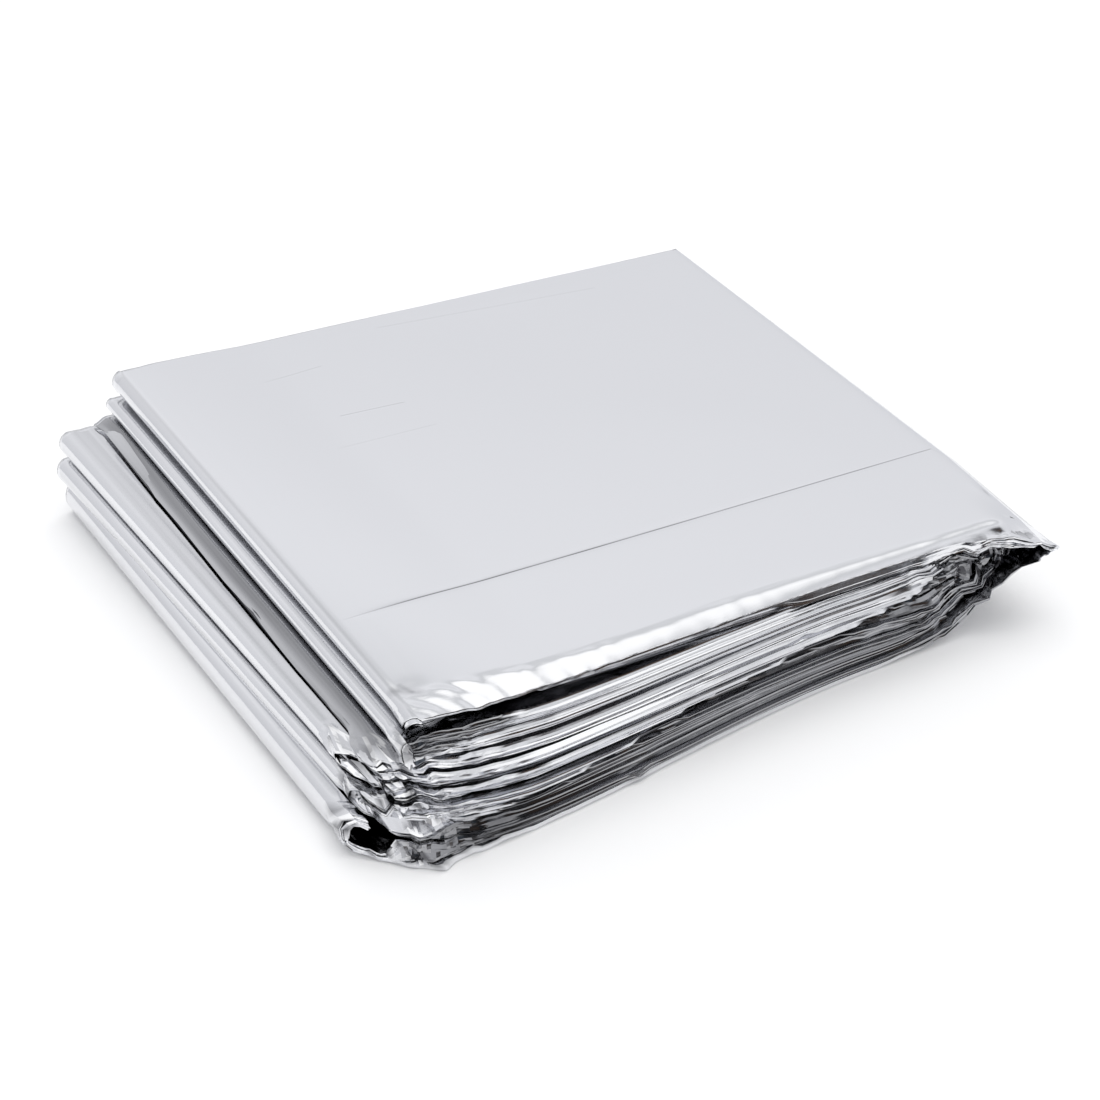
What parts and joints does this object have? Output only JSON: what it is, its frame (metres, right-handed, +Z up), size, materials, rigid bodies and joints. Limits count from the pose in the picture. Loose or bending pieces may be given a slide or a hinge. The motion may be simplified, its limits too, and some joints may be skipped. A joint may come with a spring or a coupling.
{
  "type": "folded foil emergency blanket",
  "caption": "Thin silver metallised film blanket, folded into a flat square packet with rounded fold lips at one side and stacked ply edges at the front and back.",
  "frame": {"origin": "middle of the packet's footprint, on the surface that it rests on", "axes": "+Z up through the layers, +X along the front edge towards the single fold at the right, +Y to the back, with the rounded fold lips on the -X side"},
  "size_m": [0.158, 0.1376, 0.0306],
  "materials": {
    "metallised_film": "bright metallised film with fine creases"
  },
  "bodies": {
    "root": {"foil_sheet": "metallised_film"}
  },
  "joints": []
}
